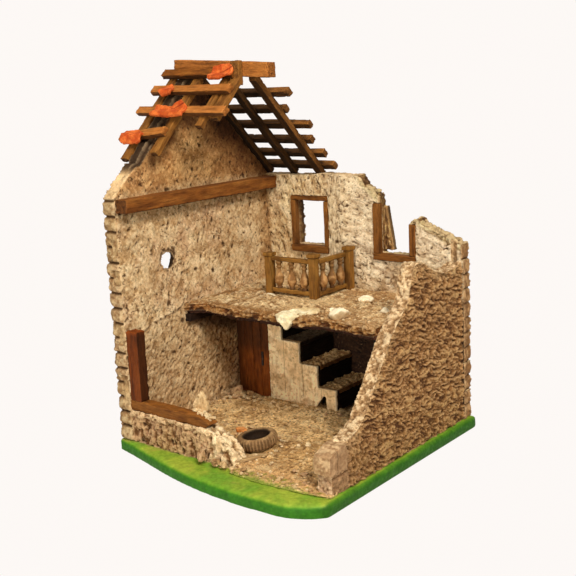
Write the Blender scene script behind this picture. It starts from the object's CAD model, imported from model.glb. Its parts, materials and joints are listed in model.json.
# Miniature terrain ruin on a green base board: two full walls, a broken end wall, an upper
# floor with a stair, roof timbers, a balustrade, a tyre and rubble. Sculpted and painted
# surfaces replace the plain CAD pieces.
# All mesh work is in millimetres in building coordinates: x from the gable's outer face,
# y from the front, z up from the top of the base board. put() moves it to the frame in metres.
import bpy
import bmesh
import json
import math
from itertools import product
import numpy as np
from mathutils import Vector, Matrix


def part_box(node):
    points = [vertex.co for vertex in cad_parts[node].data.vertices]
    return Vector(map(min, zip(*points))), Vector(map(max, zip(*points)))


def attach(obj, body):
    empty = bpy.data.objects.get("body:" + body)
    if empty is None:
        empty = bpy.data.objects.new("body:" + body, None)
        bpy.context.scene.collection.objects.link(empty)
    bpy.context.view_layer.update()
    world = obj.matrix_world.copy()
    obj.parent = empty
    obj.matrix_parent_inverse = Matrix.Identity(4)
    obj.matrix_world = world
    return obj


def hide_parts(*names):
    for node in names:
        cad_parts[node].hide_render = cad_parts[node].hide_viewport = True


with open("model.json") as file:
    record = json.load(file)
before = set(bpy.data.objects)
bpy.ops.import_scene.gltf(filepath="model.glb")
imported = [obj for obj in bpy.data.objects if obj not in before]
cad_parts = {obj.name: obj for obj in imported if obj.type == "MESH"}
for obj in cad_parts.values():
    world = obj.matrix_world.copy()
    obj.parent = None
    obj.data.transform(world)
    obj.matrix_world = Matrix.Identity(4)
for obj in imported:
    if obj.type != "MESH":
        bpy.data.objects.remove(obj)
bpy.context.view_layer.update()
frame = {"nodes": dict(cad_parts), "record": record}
ORIGIN = np.array([50.0, 45.5, -5.0])  # frame origin in building coordinates
NODES = frame["nodes"]
SLOTS = {s["node"]: s["material_slot"] for s in frame["record"]["subparts"]}
U32 = np.uint32

X_AXIS, Y_AXIS, Z_AXIS = (1, 0, 0), (0, 1, 0), (0, 0, 1)
COURSE = 5.75  # height of a quoin course
TYRE_X, TYRE_Y = 54.0, 16.6

# Palette, 0..255 per channel
CREAM = (222, 192, 148)
TAN = (200, 166, 120)
TAN2 = (176, 138, 92)
PINK = (186, 146, 110)
BROWN = (108, 70, 34)
DARK = (58, 34, 14)
STONE = (146, 104, 62)
STONE_L = (196, 154, 106)
OLIVE = (168, 150, 96)


# ------------------------------------------------------------------ noise
def hash01(ix, iy, iz, seed):
    """Repeatable 0..1 value of an integer lattice cell."""
    with np.errstate(over="ignore"):
        a, b, c = (np.asarray(i).astype(np.int64).astype(U32) for i in (ix, iy, iz))
        h = (a * U32(73856093)) ^ (b * U32(19349663)) ^ (c * U32(83492791))
        h = h ^ U32((int(seed) * 2654435761 + 97) & 0xFFFFFFFF)
        h = (h ^ (h >> U32(15))) * U32(0x2C1B3C6D)
        h = (h ^ (h >> U32(12))) * U32(0x297A2D39)
        h = h ^ (h >> U32(15))
    return h.astype(np.float64) / 4294967296.0


def value_noise(points, seed):
    cell = np.floor(points)
    part = points - cell
    part = part * part * part * (part * (part * 6 - 15) + 10)
    cell = cell.astype(np.int64)
    total = np.zeros(len(points))
    for corner in product((0, 1), repeat=3):
        weight = np.where(corner, part, 1 - part)
        total += weight[:, 0] * weight[:, 1] * weight[:, 2] * hash01(*(cell + corner).T, seed)
    return total


TURN = np.array([[0.36, 0.48, -0.8], [-0.8, 0.6, 0.0], [0.48, 0.64, 0.6]])


def fbm(points, scale, octaves, seed):
    """Layered noise, roughly -1..1."""
    q = np.asarray(points, float) / scale
    weight, out, total = 1.0, 0.0, 0.0
    for k in range(octaves):
        out = out + weight * (value_noise(q, seed + 17 * k) * 2 - 1)
        total += weight
        weight *= 0.5
        q = (q @ TURN.T) * 2.03 + 11.3
    return out / total * 1.6


def ramp(start, end, x):
    """Smooth step from 0 at start to 1 at end."""
    t = np.clip((x - start) / (end - start), 0, 1)
    return t * t * (3 - 2 * t)


def band(offset, width):
    return np.exp(-(offset / width) ** 2)


def point(u, v, w=0.0):
    """Rows of coordinates; scalars are repeated."""
    return np.stack(np.broadcast_arrays(u, v, w), 1)


def cells(u, v, width, height, jitter, seed, power, warp, warp_scale):
    """Coursed irregular stones: returns (gap, own distance, stone id)."""
    at = point(u, v, seed)
    u = u + warp * fbm(at, warp_scale, 2, seed + 5)
    v = v + warp * 0.7 * fbm(at, warp_scale, 2, seed + 9)
    best = np.full(len(u), 9e9)
    second = best.copy()
    best_id = np.zeros(len(u))
    for dr in (-1, 0, 1):
        row = np.floor(v / height) + dr
        shift = hash01(row, 0, 0, seed)
        for dc in (-1, 0, 1):
            # the column is counted from the shifted start of the row
            col = np.floor(u / width + shift) + dc
            px = (col + 0.5 + jitter * (hash01(col, row, 0, seed + 1) - 0.5) - shift) * width
            py = (row + 0.5 + jitter * 0.55 * (hash01(col, row, 0, seed + 2) - 0.5)) * height
            size = 0.78 + 0.5 * hash01(col, row, 0, seed + 3)
            d = (np.abs(u - px) / width) ** power + (np.abs(v - py) / height) ** power
            d = d ** (1 / power) / size
            nearer = d < best
            second = np.where(nearer, best, np.minimum(second, d))
            best_id = np.where(nearer, hash01(col, row, 0, seed + 4), best_id)
            best = np.where(nearer, d, best)
    return second - best, best, best_id


def blobs(u, v, width, height, seed, warp, warp_scale):
    """Lumpy rubble without drawn joints: (height 0..1, id)."""
    _, d, stone_id = cells(u, v, width, height, 1.0, seed, 2.2, warp, warp_scale)
    d = d * (1 + 0.34 * fbm(point(u, v, seed + 31), 0.95, 2, seed + 33))
    return ramp(0.70, 0.20, d), stone_id


def pits(u, v, cell, chance, r_min, r_max, stretch, angle, seed, spread):
    """0..1 field of small elliptical gouges, long axis near angle (radians)."""
    out = np.zeros(len(u))
    for di, dj in product((-1, 0, 1), repeat=2):
        i, j = np.floor(u / cell) + di, np.floor(v / cell) + dj
        h = [hash01(i, j, 0, seed + k) for k in range(6)]
        r = r_min + (r_max - r_min) * h[3] ** 2
        a = angle + spread * (h[4] - 0.5) * 2
        ca, sa = np.cos(a), np.sin(a)
        dx, dy = u - (i + h[1]) * cell, v - (j + h[2]) * cell
        s, t = dx * ca + dy * sa, -dx * sa + dy * ca
        k = 1 + (stretch - 1) * h[5]
        dent = np.exp(-((s / (r * k)) ** 2 + (t / r) ** 2) * 1.1)
        out = np.maximum(out, np.where(h[0] < chance, dent, 0))
    return out


def warped(u, v, seed):
    at = point(u, v, seed)
    return u + 0.45 * fbm(at, 1.3, 2, seed + 1), v + 0.45 * fbm(at, 1.3, 2, seed + 2)


# ------------------------------------------------------------------ meshes
def cad(node):
    """CAD node's welded mesh in building millimetres."""
    bm = bmesh.new()
    bm.from_mesh(NODES[node].data)
    bmesh.ops.remove_doubles(bm, verts=bm.verts, dist=2e-6)
    verts = np.array([v.co[:] for v in bm.verts]) * 1000 + ORIGIN
    faces = [[v.index for v in f.verts] for f in bm.faces]
    bm.free()
    return verts, faces


def shells(node):
    """Separate shells of a CAD node, sorted by centre."""
    verts, faces = cad(node)
    parent = list(range(len(verts)))

    def find(a):
        while parent[a] != a:
            parent[a] = parent[parent[a]]
            a = parent[a]
        return a

    for f in faces:
        root = find(f[0])
        for k in f[1:]:
            parent[find(k)] = root
    groups = {}
    for f in faces:
        groups.setdefault(find(f[0]), []).append(f)
    out = []
    for group in groups.values():
        ids = sorted({k for f in group for k in f})
        index = {k: i for i, k in enumerate(ids)}
        out.append((verts[ids], [[index[k] for k in f] for f in group]))
    out.sort(key=lambda mesh: tuple(np.round(mesh[0].mean(0), 3)))
    return out


def node_box(node):
    return np.array(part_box(node)) * 1000 + ORIGIN


def voxel(verts, faces, size):
    me = bpy.data.meshes.new("tmp")
    me.from_pydata([tuple(v) for v in verts], [], faces)
    ob = bpy.data.objects.new("tmp", me)
    bpy.context.scene.collection.objects.link(ob)
    remesh = ob.modifiers.new("r", "REMESH")
    remesh.mode = "VOXEL"
    remesh.voxel_size = size
    evaluated = ob.evaluated_get(bpy.context.evaluated_depsgraph_get())
    result = evaluated.to_mesh()
    coords = np.empty(len(result.vertices) * 3)
    result.vertices.foreach_get("co", coords)
    loops = np.empty(len(result.loops), np.int32)
    result.loops.foreach_get("vertex_index", loops)
    evaluated.to_mesh_clear()
    bpy.data.objects.remove(ob)
    bpy.data.meshes.remove(me)
    return coords.reshape(-1, 3), loops.reshape(-1, 4)


def edges_of(faces):
    k = faces.shape[1]
    e = np.concatenate([faces[:, [i, (i + 1) % k]] for i in range(k)])
    e.sort(axis=1)
    return np.unique(e, axis=0)


def neighbour_mean(values, edges, n):
    """Mean over the neighbours of values shaped (n,) or (n, 3)."""
    if values.ndim > 1:
        return np.stack([neighbour_mean(column, edges, n) for column in values.T], 1)
    count = np.bincount(edges.ravel(), minlength=n).astype(float)
    count[count == 0] = 1
    a, b = edges.T
    return (np.bincount(a, values[b], n) + np.bincount(b, values[a], n)) / count


def normals(verts, faces):
    p = [verts[column] for column in faces.T]
    if len(p) == 4:
        face_normal = np.cross(p[2] - p[0], p[3] - p[1])
    else:
        face_normal = np.cross(p[1] - p[0], p[2] - p[0])
    out = np.zeros_like(verts)
    for column in faces.T:
        for c in range(3):
            out[:, c] += np.bincount(column, face_normal[:, c], len(verts))
    return out / (np.linalg.norm(out, axis=1, keepdims=True) + 1e-12)


def convexity(verts, faces, edges, blur):
    """Signed roundness of the surface, + on ridges and - in hollows; and its normals."""
    n = len(verts)
    normal = normals(verts, faces)
    c = -np.einsum("ij,ij->i", normal, neighbour_mean(verts, edges, n) - verts)
    for _ in range(blur):
        c = 0.4 * c + 0.6 * neighbour_mean(c, edges, n)
    return c, normal


class Body:
    """A voxel-remeshed body with its connectivity, ready to displace and paint."""
    def __init__(self, verts, faces, size, smooth):
        self.verts, self.faces = voxel(verts, faces, size)
        self.edges = edges_of(self.faces)
        self.size = size
        for _ in range(smooth):
            mean = neighbour_mean(self.verts, self.edges, len(self.verts))
            self.verts = self.verts * 0.5 + mean * 0.5
        self.settle()

    def settle(self):
        """Take the present shape as the rest shape."""
        self.rest = self.verts.copy()
        self.normal = normals(self.verts, self.faces)

    def push(self, distance):
        self.verts = self.verts + self.normal * distance[:, None]

    def roundness(self, blur=1):
        c, normal = convexity(self.verts, self.faces, self.edges, blur)
        return c / self.size, normal

    def piece(self, col, grain=None):
        return self.verts, self.faces, col, grain


def carve(mesh, size, smooth=1):
    """Body, its rest points, their x y z, and the x y z parts of its normals."""
    body = Body(*mesh, size, smooth)
    return body, body.rest, body.rest.T, body.normal.T


# ------------------------------------------------------------------ colour
def rgb(c):
    """0..255 tuples become 0..1 arrays; arrays pass through."""
    return np.array(c) / 255.0 if isinstance(c, tuple) else c


def linear(c):
    c = np.clip(c, 0, 1)
    return np.where(c <= 0.04045, c / 12.92, ((c + 0.055) / 1.055) ** 2.4)


def mix(under, over, amount):
    if np.ndim(amount):
        amount = amount[:, None]
    return rgb(under) * (1 - amount) + rgb(over) * amount


def layers(col, *coats):
    """Lay each (colour, amount) coat over the paint in turn."""
    for colour, amount in coats:
        col = mix(col, colour, amount)
    return col


def glaze(col, tint, amount):
    """Multiply the paint by a tint where amount is 1."""
    return mix(col, col * rgb(tint), amount)


def gain(col, factor):
    """Brighten or darken a paint by a factor in linear light."""
    return np.clip(col * np.asarray(factor) ** 0.4545, 0, 1)


def blend(*parts):
    """Weighted mean of (weight, colour) parts."""
    total = sum(weight for weight, _ in parts)
    return sum(weight[:, None] * colour for weight, colour in parts) / total[:, None]


def wash(body, col, dark=DARK, light=CREAM, deep=1.0, dry=1.0, blur=1):
    """Dark wash into hollows and drybrush on ridges."""
    t, _ = body.roundness(blur)
    return layers(col, (dark, np.clip(ramp(0.03, 0.34, -t) * 0.70 * deep, 0, 1)),
                  (light, np.clip(ramp(0.04, 0.32, t) * 0.60 * dry, 0, 1)))


# --------------------------------------------------------------- materials
MATERIALS = {}


def material(name, rough=(0.75, 0.95), bump=0.5, fine=2.0, vary=0.22, streak=(), fleck=(),
             spec=0.2, grained=False):
    """Painted surface: the paint attribute, broken up by procedural noise.

    gco is a millimetre coordinate whose x axis runs along the grain or stroke.
    streak (dark, sunk) and fleck (pale, raised) rows hold the noise scale in x, y, z,
    the noise range it fades in over, its strength and its brightness factor."""
    mat = bpy.data.materials.new(name)
    mat.use_nodes = True
    tree = mat.node_tree
    tree.nodes.clear()
    link = tree.links.new

    def node(kind, **settings):
        n = tree.nodes.new(kind)
        for key, value in settings.items():
            setattr(n, key, value)
        return n

    def map_range(src, *limits):
        r = node("ShaderNodeMapRange", interpolation_type="SMOOTHSTEP")
        for key, value in zip(("From Min", "From Max", "To Min", "To Max"), limits):
            r.inputs[key].default_value = value
        link(src, r.inputs["Value"])
        return r.outputs[0]

    def noise(vec, scale, detail, distortion=0.0, roughness=0.6):
        n = node("ShaderNodeTexNoise")
        n.inputs["Scale"].default_value = scale
        n.inputs["Detail"].default_value = detail
        n.inputs["Roughness"].default_value = roughness
        n.inputs["Distortion"].default_value = distortion
        link(vec, n.inputs["Vector"])
        return n.outputs["Fac"]

    def mapped(scale, shift=(0, 0, 0)):
        mapping = node("ShaderNodeMapping")
        mapping.inputs["Scale"].default_value = scale
        mapping.inputs["Location"].default_value = shift
        link(grain.outputs["Vector"], mapping.inputs["Vector"])
        return mapping.outputs[0]

    out = node("ShaderNodeOutputMaterial")
    shader = node("ShaderNodeBsdfPrincipled")
    shader.inputs["Specular IOR Level"].default_value = spec
    link(shader.outputs[0], out.inputs[0])
    paint = node("ShaderNodeAttribute", attribute_name="paint")
    grain = node("ShaderNodeAttribute", attribute_name="gco")
    base = mapped((0.16, 1.9, 1.9) if grained else (1, 1, 1))
    small = noise(base, 1.6 if grained else fine, 5, roughness=0.65)
    broad = noise(grain.outputs["Vector"], 0.40, 3)
    factor = node("ShaderNodeMath", operation="MULTIPLY")
    link(map_range(small, 0.28, 0.72, 1 - vary, 1 + vary), factor.inputs[0])
    link(map_range(broad, 0.3, 0.7, 0.88, 1.12), factor.inputs[1])
    scaled = node("ShaderNodeVectorMath", operation="SCALE")
    link(paint.outputs["Color"], scaled.inputs[0])
    link(factor.outputs[0], scaled.inputs["Scale"])
    col = scaled.outputs[0]
    height = small
    for k, (rows, operation) in enumerate(((streak, "SUBTRACT"), (fleck, "ADD"))):
        for j, (sx, sy, sz, low, high, strength, brightness) in enumerate(rows):
            vec = mapped((sx, sy, sz), (7.3 * j + 31 * k, 3.1, 5.7))
            mark = map_range(noise(vec, 1.0, 2.5, 0.8), low, high, 0.0, strength)
            tinted = node("ShaderNodeVectorMath", operation="SCALE")
            tinted.inputs["Scale"].default_value = brightness
            link(col, tinted.inputs[0])
            mixer = node("ShaderNodeMix", data_type="RGBA")
            link(mark, mixer.inputs["Factor"])
            link(col, mixer.inputs["A"])
            link(tinted.outputs[0], mixer.inputs["B"])
            col = mixer.outputs["Result"]
            lift = node("ShaderNodeMath", operation=operation)
            link(height, lift.inputs[0])
            link(mark, lift.inputs[1])
            height = lift.outputs[0]
    link(col, shader.inputs["Base Color"])
    link(map_range(small, 0.3, 0.7, rough[1], rough[0]), shader.inputs["Roughness"])
    bumps = node("ShaderNodeBump")
    bumps.inputs["Strength"].default_value = bump
    bumps.inputs["Distance"].default_value = 0.00035
    link(height, bumps.inputs["Height"])
    link(bumps.outputs[0], shader.inputs["Normal"])
    MATERIALS[name] = mat


material("plaster_stone", bump=0.70, fine=1.7, vary=0.15,
         streak=[(0.50, 1.7, 1.2, 0.59, 0.68, 0.46, 0.38), (0.22, 0.8, 0.7, 0.61, 0.68, 0.60, 0.40)],
         fleck=[(0.6, 1.5, 1.2, 0.59, 0.69, 0.34, 1.38)])
material("rubble_stone", bump=0.75, fine=1.8, vary=0.26,
         streak=[(0.9, 1.3, 1.3, 0.60, 0.70, 0.45, 0.42)],
         fleck=[(1.1, 1.6, 1.6, 0.60, 0.70, 0.40, 1.45)])
material("smooth_stone", bump=0.35, fine=1.4, vary=0.12,
         streak=[(0.5, 1.2, 0.8, 0.60, 0.72, 0.25, 0.6)],
         fleck=[(0.8, 0.8, 0.8, 0.60, 0.72, 0.25, 1.3)])
material("earth", bump=0.95, fine=2.1, vary=0.34,
         streak=[(1.5, 1.5, 1.5, 0.58, 0.66, 0.60, 0.38), (0.55, 0.55, 0.55, 0.60, 0.70, 0.40, 0.6)],
         fleck=[(1.3, 1.3, 1.3, 0.60, 0.67, 0.55, 1.55)])
material("grass", bump=0.25, fine=0.8, vary=0.10, rough=(0.50, 0.68), spec=0.22,
         streak=[(0.25, 0.5, 0.5, 0.56, 0.70, 0.25, 0.78)],
         fleck=[(0.3, 0.45, 0.4, 0.58, 0.70, 0.25, 1.25)])
material("wood", grained=True, rough=(0.60, 0.85), spec=0.16,
         streak=[(0.10, 1.7, 1.7, 0.58, 0.68, 0.5, 0.45)],
         fleck=[(0.14, 1.5, 1.5, 0.60, 0.70, 0.30, 1.35)])
material("dark_wood", grained=True, bump=0.4, vary=0.25, rough=(0.55, 0.8), spec=0.16,
         streak=[(0.10, 1.5, 1.5, 0.58, 0.68, 0.4, 0.5)])
material("chalk", bump=0.6, fine=1.4, vary=0.12,
         streak=[(0.8, 0.8, 0.8, 0.60, 0.72, 0.35, 0.62)])
material("tile", bump=0.4, fine=1.1, vary=0.12, rough=(0.55, 0.75),
         streak=[(0.35, 0.9, 0.9, 0.60, 0.70, 0.35, 0.6)])
material("rubber", fine=2.2, vary=0.25, rough=(0.7, 0.9),
         streak=[(1.2, 1.2, 1.2, 0.60, 0.70, 0.3, 0.5)])
material("iron", bump=0.4, vary=0.25, rough=(0.4, 0.6), spec=0.5)


def put(name, pieces, mat, slot, node=None, smooth=True):
    """Join (verts, faces, colour, grain) pieces into one object in the row frame."""
    faces, start = [], 0
    for piece in pieces:
        faces.append(piece[1] + start)
        start += len(piece[0])
    faces = np.concatenate(faces)
    verts = np.concatenate([p[0] for p in pieces])
    col = np.concatenate([p[2] for p in pieces])
    grain = np.concatenate([p[0] if p[3] is None else p[3] for p in pieces])
    me = bpy.data.meshes.new(name)
    count, corners = faces.shape
    me.vertices.add(len(verts))
    me.vertices.foreach_set("co", ((verts - ORIGIN) / 1000.0).astype(np.float32).ravel())
    me.loops.add(count * corners)
    me.loops.foreach_set("vertex_index", np.ascontiguousarray(faces, np.int32).ravel())
    me.polygons.add(count)
    me.polygons.foreach_set("loop_start", np.arange(0, count * corners, corners, dtype=np.int32))
    me.update(calc_edges=True)
    me.polygons.foreach_set("use_smooth", np.full(count, smooth))
    paint = np.ones((len(verts), 4), np.float32)
    paint[:, :3] = linear(col)
    attribute = me.color_attributes.new("paint", "FLOAT_COLOR", "POINT")
    attribute.data.foreach_set("color", paint.ravel())
    attribute = me.attributes.new("gco", "FLOAT_VECTOR", "POINT")
    attribute.data.foreach_set("vector", np.ascontiguousarray(grain, np.float32).ravel())
    me.materials.append(MATERIALS[mat])
    ob = bpy.data.objects.new(name, me)
    bpy.context.scene.collection.objects.link(ob)
    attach(ob, "root")
    if node:
        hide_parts(node)


# ----------------------------------------------------------- wall surfaces
def plaster(u, v, seed):
    """Relief (mm) and colour of old lime plaster at wall position u, v."""
    at = point(u, v, seed)

    def field(scale, octaves, step):
        return fbm(at, scale, octaves, seed + step)

    small, medium = field(1.15, 3, 5), field(2.6, 3, 3)
    mottle = 0.5 * small + 0.25 * medium + 0.6 * field(0.72, 2, 43)
    blot = field(4.2, 3, 61)
    # short ragged scratches
    wobble = fbm(point(u * 0.8, v, seed + 51), 2.3, 2, seed + 52)
    scratch = ramp(0.075, 0.02, np.abs(wobble)) * ramp(0.05, 0.45, field(4.5, 2, 53))
    relief = field(14, 3, 0) * 0.20 + medium * 0.12 + small * 0.14 - 0.26 * scratch
    return relief, layers(
        TAN,
        (CREAM, ramp(-0.2, 0.5, field(7, 4, 31)) * 0.8),
        (PINK, ramp(0.0, 0.5, field(10, 3, 23)) * 0.40),
        (TAN2, ramp(-0.15, 0.55, field(15, 3, 11)) * 0.40),
        ((236, 212, 166), ramp(0.0, 0.6, blot) * 0.40),
        ((158, 118, 72), ramp(0.0, 0.6, -blot) * 0.40),
        ((242, 220, 174), ramp(0.05, 0.60, mottle) * 0.50),
        ((138, 100, 56), ramp(0.14, 0.65, -mottle) * 0.52),
        ((96, 62, 30), scratch * 0.80))


def masonry(u, v, seed, calm=1.0):
    """Relief and colour of rough bark-like rubble, calmer blocks low down."""
    at = point(u, v, seed)
    wu = u + 1.3 * fbm(at, 3.2, 2, seed + 1)
    wv = v + 0.7 * fbm(at, 3.4, 2, seed + 2) + 0.10 * u
    broad = fbm(point(wu * 0.44, wv, seed), 1.9, 2, seed + 3)
    ridge = ramp(0.34, 0.0, np.abs(fbm(point(wu * 0.55, wv, seed + 7), 1.35, 2, seed + 5)))
    bark = fbm(point(wu * 0.38, wv, seed + 9), 0.88, 2, seed + 6)
    fine = fbm(at, 1.0, 3, seed + 60)
    mid = fbm(point(u * 0.6, v), 3.2, 2, seed + 62)
    h = np.clip(0.56 + 0.12 * broad + 0.70 * bark + 0.18 * (ridge - 0.45) + 0.20 * fine, 0, 1)
    gap, _, block = cells(u, v, 6.6, 4.4, 0.8, seed + 40, 3.0, 0.9, 2.2)
    low = ramp(16.0, 9.0, v + 5.0 * fbm(at, 9, 2, seed + 50)) * calm
    blocks = ramp(-0.06, 0.26, gap * (1 + 0.8 * fine)) * (0.42 + 0.26 * block)
    blocks = np.clip(0.18 + blocks + 0.30 * fine + 0.30 * bark, 0, 1)
    h = h * (1 - 0.75 * low) + blocks * 0.75 * low
    rosy = (0.5 + 0.5 * mid) * (1 - low) + block * low
    rosy = np.clip((rosy > 0.62) * 0.25 + low * 0.35, 0, 1)
    return -0.55 + 1.15 * h + 0.18 * fine + 0.12 * mid, layers(
        (98, 62, 31),
        (STONE, ramp(0.04, 0.34, h)),
        ((172, 130, 84), ramp(0.42, 0.68, h) * 0.9),
        ((214, 178, 128), ramp(0.66, 0.95, h) * 0.8),
        ((168, 124, 92), rosy * ramp(0.2, 0.5, h)),
        ((150, 112, 60), ramp(0.2, 0.6, mid) * 0.25))


def course_joint(z, width):
    row = (z / COURSE) % 1.0
    return band(np.minimum(row, 1 - row) * COURSE, width)


# ---------------------------------------------------------------- gable wall
# Pit rows: cell, chance, least and greatest radius, stretch, angle, seed, angle spread
GABLE_PITS = [
    (2.2, 0.42, 0.20, 0.40, 3.8, 0.95, 101, 0.6), (4.2, 0.46, 0.32, 0.66, 2.8, 0.95, 131, 0.9),
    (8.5, 0.55, 0.65, 1.15, 1.8, 1.0, 141, 1.2), (10.0, 0.40, 0.26, 0.38, 8.5, 0.9, 191, 0.8)]
HOLE_Y, HOLE_Z = 24.6, 66.0   # round hole through the gable
GABLE_STROKE = 0.95           # direction of the plaster strokes, radians


def build_gable():
    body, pos, (x, y, z), (to_x, to_y, to_z) = carve(cad("gable_wall"), 0.37)
    wall = point(y, z)
    inner = ramp(0.55, 0.85, to_x) * (x > 4.5)
    outer = ramp(0.55, 0.85, -to_x) * (x < 1.2)
    front = ramp(0.55, 0.85, -to_y) * (y < 2.5)
    top = ramp(0.2, 0.5, to_z) * (z > 90)
    back = ramp(0.55, 0.85, to_y) * (y > 88) * (1 - inner)
    rest = 1 - np.clip(inner + outer + front + top + back, 0, 1)

    # inner face: hatched plaster below a sloping line, pitted all over
    relief, col_in = plaster(y, z, 3)
    line = np.interp(y, [0, 7, 15, 29.4, 34], [34, 40.4, 43.1, 46.4, 48])
    low = np.maximum(ramp(0.3, -0.3, z - line) * ramp(36, 30, y), (z < 43) * 1.0)
    yu, zu = warped(y, z, 88)
    density = ramp(-0.5, 0.4, fbm(wall, 10, 3, 77))
    fine, slanted, round_, long_ = (pits(yu, zu, *row) for row in GABLE_PITS)
    fine = fine * (0.30 + 0.55 * density)
    pit = np.maximum.reduce([fine, slanted * 0.85, round_, long_ * 0.8])
    hatch = fbm(point((y + z) * 0.55, (y - z) * 1.10, 5), 1.25, 3, 41)
    low_hatch = (hatch + 0.7 * fbm(wall, 1.6, 2, 42)) * low
    ragged = ramp(-0.3, 0.3, fbm(wall, 2.2, 2, 48))
    edge = band(z - line - 0.35, 0.5) * (y < 33) * ragged
    groove = band(z - line + 0.5, 0.45) * (y < 33) * (0.2 + 0.8 * ragged)
    d_in = relief + 0.20 * low_hatch + 0.07 * hatch - 0.42 * pit + 0.20 * edge - 0.20 * groove
    bare = (np.exp(-(((y - 33) / 7) ** 2 + ((z - 72) / 8) ** 2))
            + np.exp(-(((y - 52) / 9) ** 2 + ((z - 83) / 5) ** 2)))
    col_in = layers(
        col_in,
        (TAN2, low * 0.25),
        (CREAM, edge * 0.6),
        (CREAM, ramp(0.15, 0.7, hatch) * (0.20 + 0.20 * low)),
        (BROWN, ramp(0.15, 0.8, -hatch) * (0.12 + 0.22 * low)),
        ((168, 122, 84), np.clip(bare, 0, 1) * ramp(-0.4, 0.4, fbm(wall, 2.5, 3, 45)) * 0.5))
    col_in = mix(gain(col_in, 1.12), DARK,
                 np.clip(ramp(0.30, 0.80, pit) * 0.80 + groove * 0.3, 0, 1))
    # the attic triangle is browner, darkest under the slopes
    attic = ramp(90, 97, z)
    back_slope = 89.7 + 91 - y - z
    under_roof = np.minimum(89.7 + y - z, back_slope) + 4 * fbm(wall, 6, 2, 47)
    col_in = glaze(col_in, (238, 214, 180), attic)
    col_in = glaze(col_in, (128, 104, 70),
                   attic * ramp(19.0, 3.0, under_roof) * ramp(96, 116, z) * 0.95)
    col_in = glaze(col_in, (140, 112, 78),
                   attic * ramp(34, 8, back_slope + 5 * fbm(wall, 7, 2, 49)) * 0.75)
    d_out, col_out = masonry(y, z, 7)
    d_back, col_back = masonry(x + 40, z, 7)

    # front end: long and short quoins in courses
    row = (z / COURSE) % 1.0
    joint = course_joint(z, 0.50)
    row_id = hash01(np.floor(z / COURSE), 0, 0, 5)
    reach = 2.6 + 3.2 * (hash01(np.floor(z / COURSE + 0.5), 0, 0, 6) > 0.45)
    quoin = ramp(reach + 0.4, reach - 0.8, x + 0.5 * fbm(point(x, z), 2, 2, 9))
    swell = 1 - (2 * row - 1) ** 2
    d_front = (-0.85 * joint * quoin + 0.45 * quoin * row_id + 0.40 * quoin * swell
               + 0.34 * fbm(pos, 1.6, 3, 12) + 0.2 * (1 - quoin) * fbm(pos, 3, 2, 14))
    col_front = gain(layers(
        TAN,
        (CREAM, ramp(-0.3, 0.5, fbm(pos, 3, 3, 15)) * 0.8),
        (TAN2, quoin * (row_id < 0.4) * 0.6),
        (PINK, quoin * (row_id > 0.65) * 0.5),
        ((140, 98, 58), ramp(0.1, 0.6, fbm(pos, 1.3, 3, 16)) * 0.6),
        ((120, 84, 48), ramp(1.4, 0.2, x + 0.6 * fbm(pos, 1.5, 2, 17)) * 0.5),
        (rgb(BROWN) * 0.7, np.clip(joint * quoin * 1.1, 0, 1) * 0.9),
        ((236, 210, 166), quoin * swell * ramp(-0.2, 0.5, fbm(pos, 1.1, 3, 21)) * 0.8)),
        (0.71, 0.67, 0.57))

    peak = ramp(100, 104, z)
    d_top = 0.40 * fbm(pos, 2.2, 3, 18) + 1.5 * ramp(101, 106, z) * (x < 4)
    col_top = layers(CREAM, (TAN, ramp(-0.2, 0.5, fbm(pos, 3, 3, 19)) * 0.6),
                     ((70, 48, 26), peak * 0.95))
    col_top = gain(col_top, (1 - 0.45 * peak)[:, None] * np.array([1.0, 0.92, 0.8]))
    d = (inner * d_in + outer * d_out + front * d_front + top * d_top + back * d_back
         + rest * 0.25 * fbm(pos, 1.5, 3, 20))

    # ragged round hole
    radius = np.hypot(y - HOLE_Y, z - HOLE_Z)
    in_hole = (radius < 8.0) & (np.abs(to_x) < 0.93)
    ang = np.arctan2(z - HOLE_Z, y - HOLE_Y)
    lobe = np.cos(ang - 0.8)
    around = point(np.cos(ang) * 3, np.sin(ang) * 3, x * 0.5)
    d = np.where(in_hole, 0.42 + 0.45 * fbm(around, 1.0, 3, 33), d)
    d = d - inner * 0.40 * ramp(4.9, 3.4, radius + 1.3 * fbm(pos, 1.2, 2, 34) - 0.9 * lobe)
    body.push(d)
    col = blend((inner, col_in), (outer, col_out), (front, col_front), (top, col_top),
                (back, col_back), (rest, mix(TAN2, BROWN, 0.25)))
    ring = inner * ramp(5.2, 4.0, radius + 1.5 * fbm(pos, 1.1, 2, 36) - 1.0 * lobe + 0.5)
    col = layers(col, ((70, 46, 22), np.where(in_hole, 0.85, 0) * ramp(5.75, 5.2, x)),
                 (DARK, ring * 0.75))
    col = wash(body, col, deep=0.9, dry=0.7)
    col = glaze(col, (190, 165, 130), inner * ramp(76, 85, y) * 0.7)
    # shadow under the upper floor
    below = z - (42.5 - 0.33 * (y - 36))
    col = glaze(col, (74, 54, 36),
                inner * ramp(-7.5, -0.5, below) * ramp(33, 38, y) * (z < 44.5) * 0.80)
    col = glaze(col, (84, 62, 42), inner * ramp(73, 84, y) * (z < 44.5) * 0.80)
    c, s = math.cos(GABLE_STROKE), math.sin(GABLE_STROKE)
    put("gable_wall_sculpt", [body.piece(col, point(y * c + z * s, -y * s + z * c, x))],
        "plaster_stone", "plastered_masonry", "gable_wall")


# ----------------------------------------------------------------- back wall
BACK_PITS = [
    (2.6, 0.60, 0.24, 0.50, 4.6, -1.15, 301, 0.35), (3.4, 0.60, 0.26, 0.50, 5.0, -0.30, 331, 0.6),
    (8.0, 0.45, 0.55, 0.95, 1.6, 0.3, 361, 1.5), (1.9, 0.50, 0.20, 0.36, 2.4, -0.6, 391, 1.0)]
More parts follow.
